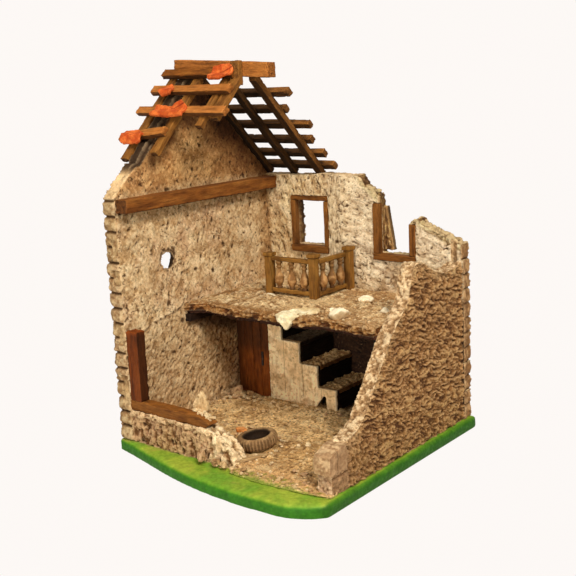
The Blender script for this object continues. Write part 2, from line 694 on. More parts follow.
# Broken top edge of the back wall
BACK_TOP_X = [5.8, 22, 36.9, 53.7, 56.5, 61.3, 63.2, 77.4, 77.6, 80.7, 83.2, 90.2, 97, 100]
BACK_TOP_Z = [93.5, 93.3, 94.1, 93.7, 89.8, 87.1, 85.4, 85, 75.5, 77.9, 75.8, 72.7, 70.3, 68.7]


def build_back():
    body, pos, (x, y, z), (to_x, to_y, to_z) = carve(cad("back_wall"), 0.37)
    wall = point(x, z)
    inner = ramp(0.55, 0.85, -to_y) * (y < 86.2)
    outer = ramp(0.55, 0.85, to_y) * (y > 89.5)
    end = ramp(0.55, 0.85, to_x) * (x > 98)
    rest = 1 - np.clip(inner + outer + end, 0, 1)

    # inner face: steep strokes on the left, shallow ones on the right
    relief, col_in = plaster(x, z, 57)
    left = ramp(46, 38, x)
    xu, zu = warped(x, z, 288)
    steep, shallow, round_, fine = (pits(xu, zu, *row) for row in BACK_PITS)
    pit = np.maximum.reduce([steep * left, shallow * (1 - left) * 0.95, round_ * 0.9, fine * 0.6])
    angle = -1.15 * left - 0.30 * (1 - left)
    along = x * np.cos(angle) + z * np.sin(angle)
    across = -x * np.sin(angle) + z * np.cos(angle)
    stroke = fbm(point(along * 0.34, across * 1.0, 5), 1.6, 3, 341)
    arc = (ramp(0.05, 0.015, np.abs(fbm(point(x, z * 1.2, 9), 6.5, 2, 345)))
           * ramp(0.0, 0.3, fbm(wall, 5, 2, 346)) * (1 - left))
    rough = ramp(0.0, 0.5, fbm(wall, 7, 3, 66)) * ramp(58, 72, x) * ramp(64, 54, z)
    d_in = relief - 0.45 * pit + 0.18 * stroke - 0.30 * arc + rough * 0.5 * fbm(wall, 1.6, 3, 68)
    col_in = mix(col_in, CREAM, ramp(30, 46, x) * 0.45 * ramp(50, 60, z))
    warmth = np.array([1.0, 1.02, 0.98]) + ramp(24, 60, x)[:, None] * np.array([0.0, 0.11, 0.36])
    col_in = gain(col_in, (1 + ramp(30, 44, x) * 0.14)[:, None] * warmth)
    col_in = layers(
        col_in,
        ((244, 222, 182), ramp(0.10, 0.6, stroke) * 0.45),
        (BROWN, ramp(0.28, 0.8, -stroke) * 0.26),
        ((84, 50, 22), arc * 0.75),
        (DARK, np.clip(ramp(0.30, 0.80, pit) * 0.80, 0, 1)))
    col_in = glaze(col_in, (190, 158, 120), ramp(50, 44, z))
    col_in = mix(col_in, rgb(TAN2) * 0.9,
                 np.clip(rough + ramp(62, 74, x) * ramp(60, 52, z) * 0.6, 0, 1) * 0.6)
    deep = ramp(46.5, 44, z) * np.maximum(ramp(33, 36, x), ramp(12, 9, x))
    col_in = glaze(col_in, (70, 52, 36), deep * 0.92)
    d_out, col_out = masonry(x, z, 71)

    joint = course_joint(z, 0.45)
    d_end = -0.40 * joint + 0.28 * fbm(pos, 1.5, 3, 73) + 0.40 * ramp(88, 86.3, y)
    col_end = layers(STONE, (STONE_L, ramp(-0.2, 0.6, fbm(pos, 1.6, 3, 74))), (DARK, joint * 0.5))
    col_end = gain(col_end, (0.86, 0.84, 0.78))

    # crumbling top and window reveals
    depth = np.interp(x, BACK_TOP_X, BACK_TOP_Z) - z
    broken = ramp(50, 58, x)
    crumble = ramp(3.6, 0.5, depth + 0.8 * fbm(wall, 2, 2, 75)) * ramp(50, 56, x)
    lump, lump_id = blobs(x + y * 0.7, z + y * 0.4, 2.6, 2.2, 79, 0.6, 1.6)
    upward = ramp(0.15, 0.5, to_z)
    squat = pos * np.array([1, 1, 0.5])
    d_rest = (0.34 * fbm(pos, 1.7, 3, 77) + (lump - 0.5) * 0.7 * broken * upward
              + (1 - upward) * 0.30 * fbm(squat, 1.3, 3, 78))
    body.push(inner * d_in + outer * d_out + end * d_end + rest * d_rest
              + inner * crumble * (lump - 0.6) * 0.6)
    col_rest = layers(
        TAN,
        (BROWN, ramp(-0.1, 0.5, fbm(pos, 2.2, 3, 81)) * 0.6),
        (CREAM, upward * 0.35),
        (OLIVE, broken * (0.4 + 0.6 * lump_id) * upward * 0.55),
        (DARK, ramp(0.25, 0.0, lump) * broken * 0.35))
    # seam under the broken top right of window 2
    seam = band(depth - 1.7 + 0.5 * fbm(point(x, z), 3, 2, 82), 0.45) * ramp(82, 86, x)
    col_in = layers(col_in, (BROWN, seam * 0.6), (OLIVE, crumble * 0.50))
    col = blend((inner, col_in), (outer, col_out), (end, col_end), (rest, col_rest))
    reveal = ((np.abs(to_x) > 0.6) & (y > 86.5) & (x > 12) & (x < 82) & (z > 58)) * 1.0
    upright = pos * np.array([1, 1, 0.6])
    col_reveal = layers(
        (150, 110, 62),
        ((178, 150, 86), ramp(0.0, 0.5, fbm(pos, 1.6, 3, 85))),
        ((84, 52, 22), ramp(0.1, 0.5, fbm(upright, 1.4, 3, 86)) * 0.7),
        ((72, 44, 18), ramp(88.2, 90.4, y + 0.6 * fbm(pos, 1.5, 2, 84)) * 0.8))
    col = wash(body, mix(col, col_reveal, reveal * 0.9), deep=0.9, dry=0.7)
    col = gain(col, 1 - reveal[:, None] * np.array([0.38, 0.46, 0.52]))
    col = glaze(col, (190, 160, 122), inner * ramp(8.5, 5.8, x) * 0.8)
    put("back_wall_sculpt", [body.piece(col, point(along, across, y))],
        "plaster_stone", "plastered_masonry", "back_wall")


# ------------------------------------------------------------------ end wall
END_PITS = [(3.0, 0.5, 0.28, 0.6, 2.6, 0.6, 401, 1.0), (8, 0.4, 0.4, 0.8, 1.8, 0.4, 431, 1.5)]
# Raked, broken top edge of the end wall
RAKE_Y = [0, 8, 9.6, 14.9, 18.9, 23.2, 28.5, 32.9, 37.3, 41.7,
          45, 48.6, 50.1, 52.1, 55.4, 60, 66, 73, 80.5, 85.3]
RAKE_Z = [13.9, 16, 16.4, 17.8, 20.8, 26.4, 33.2, 39.2, 45.3, 49,
          51.9, 55.8, 61.6, 66.1, 67.4, 66.2, 62.4, 60.6, 61, 62.4]


def build_end():
    body, pos, (x, y, z), (to_x, to_y, _) = carve(cad("end_wall"), 0.30)
    wall = point(y, z)
    outer = ramp(0.5, 0.8, to_x) * (x > 98.5)
    inner = ramp(0.5, 0.8, -to_x) * (x < 95.5)
    rest = 1 - np.clip(outer + inner, 0, 1)
    d_out, col_out = masonry(y, z, 91, calm=0.25 + 0.75 * ramp(30, 12, y))
    relief, col_in = plaster(y, z, 93)
    yu, zu = warped(y, z, 488)
    pit = np.maximum(*(pits(yu, zu, *row) for row in END_PITS))
    col_in = mix(col_in, DARK, ramp(0.35, 0.85, pit) * 0.75)
    along = y * 0.62 + z * 0.78
    lump, lump_id = blobs(along + 0.25 * x, x + 0.3 * along, 2.5, 2.6, 97, 0.8, 1.7)
    broad = fbm(pos, 2.6, 3, 98)
    fine = fbm(pos, 1.1, 3, 99)
    d_rest = (lump * (0.5 + 0.5 * lump_id) - 0.4) * 0.35 + 0.62 * broad + 0.34 * fine
    col_rest = gain(layers(
        (174, 138, 94),
        ((206, 172, 126), ramp(-0.3, 0.3, broad + 0.5 * fine)),
        ((234, 208, 164), ramp(0.05, 0.50, fine + 0.3 * broad) * 0.85),
        ((110, 76, 42), ramp(0.15, 0.7, -fine) * 0.55)), (0.86, 0.82, 0.78))
    rake = np.interp(y, RAKE_Y, RAKE_Z)
    near_top = ramp(3.4, 0.2, (rake - z) * 0.75 + 1.8 * fbm(wall, 2.2, 3, 94))
    d = outer * d_out + inner * (relief - 0.42 * pit) + rest * d_rest
    # squared blocks at the low front corner
    zone = outer * ramp(11.5, 8.0, y + 1.5 * broad) * ramp(14.5, 13.0, z)
    joint = (band(z - 6.3 - 0.4 * fbm(wall, 4, 2, 1011), 0.35)
             + band(y - 4.6 - 0.3 * broad, 0.3) * (z > 6.3))
    d = d * (1 - 0.75 * zone) + zone * (0.25 * broad + 0.15 * fine - 0.35 * joint)
    body.push(d - outer * near_top * 0.45 + outer * 0.5 * ramp(83.4, 84.8, y))
    col_out = gain(col_out, (0.75, 0.67, 0.52))
    col_out = gain(col_out, 1 - ramp(22, 6, z)[:, None] * np.array([0.08, 0.06, 0.14]))
    block = mix((164, 126, 88), (120, 84, 52), ramp(0.0, 0.6, -fine) * 0.6)
    col_out = layers(
        col_out,
        (block, zone * 0.85),
        ((96, 64, 36), zone * np.clip(joint, 0, 1) * 0.7),
        ((188, 154, 106), near_top * 0.55))
    col = blend((outer, col_out), (inner, col_in), (rest, col_rest))
    front = rest * ramp(0.4, 0.8, -to_y) * ramp(12, 6, z)
    col = mix(col, rgb(PINK) * 0.95, front * 0.7)
    col = wash(body, col, deep=0.85, light=mix(STONE_L, CREAM, np.clip(rest + inner, 0, 1)))
    col = glaze(col, (70, 52, 36), inner * ramp(46.5, 44, z) * ramp(50, 58, y) * 0.9)
    put("end_wall_sculpt", [body.piece(col, point(y, z, x))],
        "rubble_stone", "plastered_masonry", "end_wall")


# ------------------------------------------------- dressed block, dwarf wall
def build_block():
    body, pos, (_, y, _), (to_x, _, _) = carve(cad("end_wall_block"), 0.24)
    side = ramp(0.5, 0.8, to_x)
    seam = band(y - 2.9 - 0.2 * fbm(pos, 3, 2, 504), 0.28) * side
    body.push(0.20 * fbm(pos, 2.6, 3, 501) + 0.14 * fbm(pos, 0.9, 3, 502) - 0.3 * seam)
    fine = fbm(pos, 1.1, 3, 505)
    col = layers(
        (166, 130, 90),
        ((198, 164, 120), ramp(-0.4, 0.5, fbm(pos, 2.4, 3, 503) + 0.5 * fine)),
        ((128, 92, 58), ramp(0.15, 0.7, -fine) * 0.5),
        ((140, 102, 68), ramp(0.5, 0.9, to_x) * 0.55),
        ((104, 72, 42), seam * 0.6))
    put("end_wall_block_sculpt", [body.piece(wash(body, col, deep=0.7))],
        "smooth_stone", "dressed_stone", "end_wall_block")


DWARF_PITS = [(4.8, 0.55, 0.38, 0.66, 4.2, 1.57, 514, 0.22), (6.6, 0.45, 0.6, 0.95, 2.8, 1.5, 517, 0.35)]


def build_dwarf():
    body, pos, (x, y, z), (_, to_y, _) = carve(cad("dwarf_wall"), 0.29)
    face = np.clip(ramp(0.5, 0.8, -to_y) + ramp(0.5, 0.8, to_y), 0, 1)
    fine = fbm(pos, 1.0, 3, 512)
    mid = fbm(pos, 2.2, 3, 513)
    gap, _, block = cells(x + 0.5 * mid, z + 1.0, 6.8, 6.4, 0.7, 511, 3.8, 0.6, 2.4)
    bark = fbm(point(x * 1.05, y, z * 0.42), 1.6, 2, 515)
    edge = np.interp(x, [5.8, 44, 47.5, 50.9, 54, 56.3, 57.2], [12.4, 12.4, 11, 9.6, 7.2, 5, 0])
    # pale lip along the top edge
    lip = ramp(2.3, 1.5, edge - z + 0.7 * fbm(point(x, 0.0), 3.0, 2, 516)) * ramp(46, 43, x)
    h = ramp(-0.03, 0.16, gap * (1 + 0.9 * fine)) * (0.24 + 0.28 * block)
    h = np.clip(0.26 + h + 0.50 * bark + 0.18 * fine, 0, 1)
    deep = np.maximum(pits(x + 0.5 * mid, z, *DWARF_PITS[0]),
                      pits(x + 0.5 * mid, z + 3, *DWARF_PITS[1])) * (1 - lip)
    h = h * (1 - lip) + (0.95 + 0.2 * fine) * lip
    d_face = -0.50 + 0.95 * h + 0.12 * fine + 0.30 * mid - 1.2 * deep + 0.35 * lip
    lump, _ = blobs(x, y + z * 0.6, 3.2, 2.8, 521, 0.8, 1.6)
    crumb = ramp(42, 50, x)
    d_top = (lump - 0.5) * (0.6 + 0.9 * crumb) + 0.3 * fine + 0.35 * mid
    body.push(face * d_face + (1 - face) * d_top)
    col_top = layers(TAN2, (CREAM, ramp(0.2, 0.8, lump + 0.3 * fine) * 0.8),
                     (BROWN, ramp(0.2, 0.0, lump) * 0.5))
    col = layers(
        BROWN,
        (TAN2, ramp(0.02, 0.5, h + 0.2 * fine)),
        (PINK, (block > 0.45) * ramp(0.1, 0.5, h) * 0.6),
        ((164, 122, 96), (block < 0.22) * ramp(0.1, 0.5, h) * 0.5),
        (TAN, ramp(0.40, 0.85, h + 0.45 * fine) * 0.7),
        ((120, 84, 48), ramp(0.15, 0.6, -fine) * 0.4),
        ((226, 194, 148), lip * ramp(-0.6, 0.3, fine) * 0.85),
        (DARK, ramp(0.3, 0.8, deep) * 0.8),
        (col_top, 1 - face),
        ((232, 206, 160), crumb * ramp(-0.3, 0.4, mid) * 0.75))
    col = wash(body, col, deep=0.65, dry=0.7)
    pale = ramp(38, 47, x)[:, None] * np.array([0.32, 0.41, 0.50])
    col = gain(col, np.array([0.87, 0.82, 0.76]) + pale)
    put("dwarf_wall_sculpt", [body.piece(col)], "rubble_stone", "rubble_masonry", "dwarf_wall")


# -------------------------------------------------------------------- timber
def wood(node, tones, size, axis, wear, end_rough, seed, mat="wood", bump=0.09, shade=None):
    """Carve every shell of a node as grained timber; without an axis the grain
    follows the shell's longest direction."""
    mid, light, dark = map(rgb, tones)
    pieces = []
    for k, mesh in enumerate(shells(node)):
        body, pos, _, _ = carve(mesh, size)
        centre = mesh[0].mean(0)
        if axis is None:
            _, vectors = np.linalg.eigh(np.cov((mesh[0] - centre).T))
            along = vectors[:, 2]
        else:
            along = np.array(axis, float)
        along = along / np.linalg.norm(along)
        up = np.array([0, 0, 1.0]) if abs(along[2]) < 0.9 else np.array([0, 1.0, 0])
        side = np.cross(up, along)
        side /= np.linalg.norm(side)
        local = (pos - centre) @ np.stack([along, side, np.cross(along, side)], 1)
        grain = local + np.array([37.0, 19.0, 53.0]) * (k + 1) + seed * 7.3
        ends = ramp(0.55, 0.8, np.abs(body.normal @ along))
        fine = fbm(grain * np.array([0.13, 1.0, 1.0]), 0.9, 4, 601)
        broad = fbm(grain * np.array([0.3, 1.0, 1.0]), 2.6, 3, 607)
        rim = ramp(0.015, 0.06, body.roundness(2)[0])
        nick = ramp(0.35, 0.8, fbm(grain, 2.2, 3, 611)) * rim
        body.push((bump * fine + 0.07 * broad) * (1 - ends)
                  + ends * end_rough * fbm(grain, 1.0, 3, 613) - 0.26 * wear * nick)
        t, normal = body.roundness()
        col = layers(
            mid,
            (dark, ramp(0.0, 0.8, -0.6 * fine - 0.6 * broad) * 0.55),
            (light, ramp(0.05, 0.8, 0.6 * fine + 0.6 * broad) * 0.50),
            (light, ramp(0.05, 0.26, t) * 0.6),
            (dark * 0.6, ramp(0.03, 0.25, -t) * 0.8),
            (mix(mid, dark, 0.35), ends * 0.6),
            (dark * 0.55, ramp(-0.25, -0.8, normal[:, 2]) * 0.75))
        if shade is not None:
            col = gain(col, shade(pos, normal)[:, None])
        pieces.append(body.piece(col, grain))
    put(node + "_carved", pieces, mat, SLOTS[node], node)


# Wood tones: middle, light, dark
TIMBER = ((134, 78, 28), (166, 108, 46), (78, 38, 8))
SILL = ((146, 87, 29), (174, 112, 50), (86, 43, 10))
JAMB = ((110, 50, 8), (130, 66, 16), (64, 28, 4))
FRAME = ((116, 70, 24), (144, 92, 38), (62, 32, 8))
FALLEN = ((160, 120, 72), (198, 160, 108), (66, 38, 16))
ROOF = ((160, 96, 38), (188, 126, 60), (90, 48, 13))
ROOF_RED = ((128, 72, 20), (160, 102, 38), (70, 36, 6))
ROOF_PALE = ((176, 108, 46), (204, 140, 70), (100, 56, 18))
RAFTER = ((132, 84, 32), (166, 116, 51), (70, 38, 11))
ROOF_DARK = ((112, 70, 27), (150, 100, 43), (44, 24, 6))
RAIL = ((130, 88, 34), (164, 120, 54), (76, 44, 13))
DOOR = ((118, 60, 16), (146, 80, 28), (72, 33, 8))
DOOR_TRIM = ((112, 58, 16), (142, 80, 28), (68, 32, 8))
BEARER = ((36, 20, 10), (58, 34, 16), (16, 8, 3))
DECK = ((62, 32, 16), (92, 52, 26), (26, 12, 4))
NIGHT = ((28, 19, 9), (44, 30, 15), (12, 7, 3))
PLANK = ((158, 124, 80), (208, 178, 130), (72, 46, 22))


# Brightness of a timber from its points and normals
def tie_shade(pos, normal):
    return 0.90 - 0.35 * ramp(0.4, 0.8, -normal[:, 1])


def sill_shade(pos, normal):
    return 0.86 - 0.22 * ramp(0.4, 0.8, -normal[:, 1])


def jamb_shade(pos, normal):
    return ((0.86 - 0.55 * ramp(0.4, 0.8, normal[:, 0]))
            * (1 + 0.9 * ramp(41.5, 43.2, pos[:, 2])))


def fallen_shade(pos, normal):
    return 1 - 0.6 * ramp(0.3, 0.7, np.abs(normal[:, 0]))


def rafter_shade(pos, normal):
    return np.full(len(pos), 0.45)


def batten_shade(pos, normal):
    return 0.38 + 0.85 * ramp(30, 39, pos[:, 0])


def door_shade(pos, normal):
    return ((0.42 + 0.66 * ramp(25.5, 18.5, pos[:, 2]))
            * (0.60 + 0.40 * ramp(6.0, 11.0, pos[:, 0])))


DARK_WOOD = {"mat": "dark_wood"}
TURNED = {"bump": 0.06}
# Nodes, tones, voxel size, grain axis, edge wear, end roughness, first seed, other settings
TIMBERS = [
    ("tie_beam", TIMBER, 0.32, Y_AXIS, 0.9, 0.4, 1, {"shade": tie_shade}),
    ("sill_beam", SILL, 0.28, X_AXIS, 0.8, 0.3, 2, {"shade": sill_shade}),
    ("jamb_post", JAMB, 0.28, Z_AXIS, 0.8, 0.4, 3, {"shade": jamb_shade}),
    ("window_1_head window_1_sill window_2_sill", FRAME, 0.22, X_AXIS, 0.5, 0.1, 10, {}),
    ("window_1_jambs window_2_jambs", FRAME, 0.22, Z_AXIS, 0.5, 0.3, 20, {}),
    ("window_2_fallen_head", FALLEN, 0.2, None, 0.8, 0.4, 25, {"shade": fallen_shade}),
    ("ridge_beam", ROOF, 0.28, (49.7, 0, -3), 0.8, 0.3, 30, {}),
    ("rafter_front_1 rafter_front_2 rafter_front_3 rafter_front_4",
     RAFTER, 0.26, (0, 1, 1), 0.8, 0.25, 31, {}),
    ("rafter_back_1 rafter_back_2", ROOF_DARK, 0.26, (0, -1, 1), 0.8, 0.25, 41,
     {"shade": rafter_shade}),
    ("rafter_back_3", ROOF_DARK, 0.26, (0, -1, 1), 0.8, 0.25, 43, {}),
    ("batten_front_1", ROOF_RED, 0.25, None, 0.8, 0.25, 51, {}),
    ("batten_front_2", ROOF, 0.25, None, 0.8, 0.25, 52, {}),
    ("batten_front_3", ROOF_PALE, 0.25, None, 0.8, 0.25, 53, {}),
    ("batten_front_4", ROOF, 0.25, None, 0.8, 0.25, 54, {}),
    ("battens_back", ROOF_DARK, 0.26, X_AXIS, 0.8, 0.3, 60, {"shade": batten_shade}),
    ("newel_left newel_corner newel_wall", RAIL, 0.2, Z_AXIS, 0.5, 0.1, 70, TURNED),
    ("front_top_rail front_bottom_rail", RAIL, 0.2, X_AXIS, 0.5, 0.1, 74, TURNED),
    ("side_top_rail side_bottom_rail", RAIL, 0.2, Y_AXIS, 0.5, 0.1, 76, TURNED),
    ("door_planks", DOOR, 0.26, Z_AXIS, 0.6, 0.2, 80, {"shade": door_shade, **DARK_WOOD}),
    ("door_ledges", DOOR_TRIM, 0.3, X_AXIS, 0.6, 0.2, 81, DARK_WOOD),
    ("door_head", DOOR_TRIM, 0.28, X_AXIS, 0.6, 0.2, 82, DARK_WOOD),
    ("floor_bearer_left", BEARER, 0.26, Y_AXIS, 0.8, 0.5, 83, DARK_WOOD),
    ("floor_bearer_right", NIGHT, 0.3, Y_AXIS, 0.8, 0.5, 84, DARK_WOOD),
    ("floor_deck", DECK, 0.42, Y_AXIS, 0.8, 0.6, 85, DARK_WOOD),
    ("stair_risers", NIGHT, 0.34, Y_AXIS, 0.6, 0.3, 86, DARK_WOOD),
    ("debris_planks", PLANK, 0.2, None, 1.0, 0.5, 87, {}),
]


def build_timber():
    for nodes, tones, size, axis, wear, end_rough, seed, settings in TIMBERS:
        for i, node in enumerate(nodes.split()):
            wood(node, tones, size, axis, wear, end_rough, seed + i, **settings)


# --------------------------------------------------------------- upper floor
def build_screed():
    body, pos, (x, y, z), (_, _, to_z) = carve(cad("floor_screed"), 0.35)
    plan = point(x, y)
    top = ramp(0.5, 0.85, to_z)
    side = np.clip(1 - top - ramp(0.5, 0.85, -to_z), 0, 1)
    grain = fbm(pos, 0.9, 3, 702)
    broad = fbm(plan, 12, 3, 701)
    bands = fbm(point(x * 0.25, y + 0.35 * x, 3), 2.4, 3, 703)
    lump = ramp(0.30, 0.85, fbm(plan, 4.2, 3, 704))
    # the surface stays nearly flat around the stair opening
    flat = np.clip(ramp(6.0, 3.0, np.abs(y - 62.1)) * (x > 20) * (x < 54)
                   + ramp(5, 2.5, np.abs(x - 49.0)) * (y > 58), 0, 1)
    d_top = 0.20 * broad + 0.26 * bands + 0.8 * lump * ramp(0.0, 0.5, broad + 0.2)
    d_top = d_top * (1 - 0.9 * flat)
    crumbs, crumb_id = blobs(x, y, 1.7, 1.5, 707, 0.6, 1.0)
    crumbs = crumbs * (crumb_id > 0.60) * ramp(-0.3, 0.4, fbm(plan, 6, 2, 708))
    d = top * (d_top + 0.16 * grain + 0.50 * crumbs + 0.45 * ramp(0.35, 0.8, fbm(plan, 2.6, 2, 719)))
    strata = fbm(point(x * 0.45, y * 0.45, z * 1.5), 1.3, 3, 705)
    mid = fbm(pos, 2.6, 3, 706)
    fine = fbm(pos, 1.2, 2, 709)
    d = d + side * (0.60 * strata + 0.95 * mid + 0.35 * fine - 0.15)
    body.push(d + top * 0.55 * mid * ramp(40, 36, y))
    lay = fbm(point(x * 0.9, y * 0.14, 8), 1.5, 3, 711)
    at_left = ramp(38, 22, x) * ramp(-0.4, 0.3, fbm(plan, 8, 2, 712) + 0.3)
    col_side = gain(layers(
        (160, 106, 50),
        ((196, 148, 86), ramp(0.0, 0.7, strata + 0.4 * mid)),
        ((96, 54, 22), ramp(0.0, 0.45, -strata - 0.5 * fine) * 0.85),
        ((206, 166, 108), ramp(0.1, 0.6, fine + 0.4 * mid) * 0.5)), (0.62, 0.54, 0.43))
    col = layers(
        (176, 134, 84),
        ((212, 176, 122), ramp(-0.3, 0.5, broad + 0.8 * grain)),
        ((112, 76, 40), ramp(0.30, 0.75, -grain - 0.3 * bands) * 0.7),
        ((142, 98, 52), ramp(0.1, 0.7, -bands) * 0.65),
        ((228, 200, 150), np.clip(ramp(0.25, 0.7, grain) * 0.6 + crumbs * 0.6, 0, 1)),
        ((240, 216, 170), ramp(0.0, 0.3, lay) * at_left * 0.65),
        ((120, 84, 44), ramp(0.05, 0.35, -lay) * at_left * 0.55),
        ((132, 84, 36), top * ramp(40.5, 36.5, y + 1.5 * mid) * 0.5),
        (col_side, side),
        ((42, 24, 12), ramp(0.3, 0.8, -to_z)))
    put("floor_screed_sculpt", [body.piece(wash(body, col, dark=(84, 48, 20), dry=0.7))],
        "earth", "screed", "floor_screed")


# ---------------------------------------------------------------- groundwork
def ground_relief(x, y):
    """Relief of the ground, its medium and its broad noise."""
    plan = point(x, y)
    broad = fbm(plan, 15, 3, 711)
    mid = fbm(plan, 4.5, 3, 712)
    drift = (ramp(7, 0, x - 5.8) * 0.9 + ramp(5, 0, np.abs(y - 59.5)) * 0.5 * (x < 60)
             + ramp(6, 0, 94.2 - x) * 0.8) * ramp(10, 24, y)
    relief = 0.22 * broad + 0.24 * mid + 0.5 * drift * (0.6 + 0.8 * mid) - 0.25 * ramp(20, 30, y)
    return relief, mid, broad


def ground_top(x, y):
    relief = ground_relief(np.array([x]), np.array([y]))[0]
    return float(np.interp(y, [-12, -4, 8, 24], [0.5, 0.7, 1.7, 2.5]) + relief[0])


def build_ground():
    body, pos, (x, y, _), (_, _, to_z) = carve(cad("groundwork"), 0.40)
    plan = point(x, y)
    top = ramp(0.3, 0.8, to_z)
    relief, mid, broad = ground_relief(x, y)
    grain = fbm(pos, 0.9, 3, 713)
    pebble_, pebble_id = blobs(x, y, 1.6, 1.4, 714, 0.6, 1.0)
    pebble_ = pebble_ * (pebble_id > 0.50) * ramp(-0.3, 0.4, fbm(plan, 7, 2, 715))
    clod, clod_id = blobs(x, y, 3.4, 3.0, 718, 0.9, 1.6)
    clod = clod * (clod_id > 0.66)
    front = ramp(-1.6, -4.4, y + 1.0 * fbm(plan, 4, 3, 719)) * (x < 99)
    d = top * (relief + 0.26 * grain + 0.52 * pebble_ + 0.50 * clod * ramp(4, 12, y) - 0.95 * front)
    body.push(d - (1 - top) * 0.4 * (y < -2))
    pale = np.clip(pebble_ * (pebble_id > 0.78) + clod * (clod_id > 0.85), 0, 1)
    col = gain(layers(
        (188, 148, 96),
        ((216, 178, 124), ramp(-0.4, 0.5, broad + 0.7 * grain)),
        ((136, 98, 56), ramp(0.10, 0.6, mid + 0.5 * grain) * 0.45),
        ((96, 62, 30), ramp(0.32, 0.70, -grain) * 0.7),
        ((226, 196, 146), ramp(0.35, 0.75, grain) * 0.6),
        ((192, 148, 100), (1 - ramp(2, 12, y)) * 0.5),
        ((218, 190, 142), pale * 0.6),
        ((120, 82, 44), ramp(0.30, 0.7, fbm(plan, 4, 4, 717)) * 0.3)), (1.18, 1.15, 1.04))
    # green of the board creeping over the front edge
    green = front * 0.6 + ramp(1.1, 0.1, body.verts[:, 2] + 0.5 * grain) * (y < 2) * 0.8
    col = mix(col, (140, 152, 56), np.clip(green, 0, 1))
    put("groundwork_sculpt", [body.piece(wash(body, col, dark=(80, 50, 24), dry=0.7))],
        "earth", "earth", "groundwork")


# ---------------------------------------------------------------- base board
CORNER_R = 1.2  # rounding of the front left corner


def build_base():
    body = Body(*cad("base_board"), 0.55, 14)
    left = body.verts[:, 0].min()
    front = body.verts[body.verts[:, 0] < left + 0.8, 1].min()
    q = body.verts[:, :2] - np.array([left + CORNER_R, front + CORNER_R])
    reach = np.linalg.norm(q, axis=1)
    hit = (q[:, 0] < 0) & (q[:, 1] < 0) & (reach > CORNER_R)
    body.verts[hit, :2] += q[hit] * (CORNER_R / reach[hit] - 1)[:, None]
    body.settle()
    pos = body.rest
    x, y, z = pos.T
    body.push((0.12 * fbm(pos, 6, 3, 721) + 0.05 * fbm(pos, 2, 2, 722)) * ramp(-4.6, -3.0, z))
    up = ramp(0.30, 0.97, body.normal[:, 2]) * ramp(101.6, 100.4, x) * ramp(-2.2, -0.8, x + 0.3)
    broad = fbm(point(x, y), 8, 4, 723)
    mid = fbm(pos, 2.6, 3, 724)
    light = layers(
        (128, 156, 42),
        ((156, 170, 52), ramp(0.0, 0.6, broad) * 0.8),
        ((98, 148, 36), ramp(0.0, 0.6, -broad) * 0.7),
        ((184, 160, 78), ramp(0.50, 0.95, mid) * 0.30),
        ((160, 148, 84), ramp(-1.6, 0.2, y + 0.8 * mid) * (x < 57) * 0.5))
    dark = layers((44, 102, 6), ((50, 110, 9), ramp(-0.2, 0.5, mid)),
                  ((96, 146, 34), ramp(-1.6, -0.3, z + 0.3 * mid) * 0.7))
    dark = gain(dark, (1 - 0.25 * ramp(99, 101, x))[:, None])
    dark = mix(dark, (80, 136, 36), ramp(-4.1, -4.7, z) * 0.6)
    put("base_board_painted", [body.piece(mix(dark, light, up))],
        "grass", "green_base", "base_board")


# --------------------------------------------------------------------- stair
SEAMS_X = (31.4, 40.6, 49.8)  # upright board joints of the side panel


def build_stair_panel():
    body, pos, (x, y, z), (to_x, to_y, to_z) = carve(cad("stair_side_panel"), 0.24)
    face = ramp(0.5, 0.8, np.abs(to_y))
    wander = 0.12 * fbm(pos, 4, 2, 731)
    seam = np.maximum.reduce([band(x - seam_x - wander, 0.20) * (z > 6) for seam_x in SEAMS_X])
    grain = fbm(point(x, y, z * 0.16), 1.0, 3, 732)
    mid = fbm(pos, 1.2, 3, 736)
    fine = fbm(pos, 0.75, 2, 737)
    body.push(face * (-0.26 * seam + 0.10 * grain) + 0.12 * mid + 0.05 * fine)
    col = gain(layers(
        (220, 188, 140),
        ((242, 216, 170), ramp(-0.4, 0.6, fbm(pos, 5, 3, 734))),
        ((186, 150, 104), ramp(0.1, 0.8, -grain) * 0.40),
        ((164, 126, 80), ramp(0.15, 0.8, -mid - 0.5 * fine) * 0.50),
        ((130, 94, 54), seam * 0.45)), (1.18, 1.19, 1.16))
    rear = ramp(62.0, 62.5, y)
    col = layers(
        col,
        ((250, 234, 200), (1 - face) * ramp(0.5, 0.8, to_x) * 0.5),
        ((34, 22, 10), rear * ramp(0.3, 0.7, to_x) * 0.95),
        ((176, 134, 84), rear * ramp(0.3, 0.7, to_z) * 0.9),
        ((178, 130, 84), ramp(0.3, 0.8, fbm(pos, 4.0, 3, 735)) * 0.35))
    col = wash(body, col, deep=0.22, dry=0.8, light=(250, 236, 204))
    put("stair_side_panel_carved", [body.piece(col)],
        "smooth_stone", "pale_boarding", "stair_side_panel")


def build_stair_treads():
    pieces = []
    for k, mesh in enumerate(shells("stair_treads")):
        body, pos, (x, y, z), (_, _, to_z) = carve(mesh, 0.3)
        top = ramp(0.4, 0.8, to_z)
        crumb, crumb_id = blobs(x, y, 1.5, 1.4, 746 + k, 0.6, 1.0)
        crumb = crumb * (crumb_id > 0.45)
        body.push(0.20 * fbm(pos, 1.3, 3, 741 + k) + top * 0.5 * crumb)
        col = layers((186, 140, 86), ((228, 188, 130), ramp(-0.3, 0.5, fbm(pos, 1.3, 3, 745))),
                     ((236, 204, 150), crumb * 0.5))
        col = wash(body, mix((130, 94, 54), col, top), deep=0.6, dry=0.8)
        # the treads fade into darkness higher up
        fade = (1 - 0.90 * ramp(24.5, 26.5, z))[:, None]
        pieces.append(body.piece(gain(col, fade * np.array([1.0, 0.92, 0.80]))))
    put("stair_treads_sanded", pieces, "earth", "screed", "stair_treads")


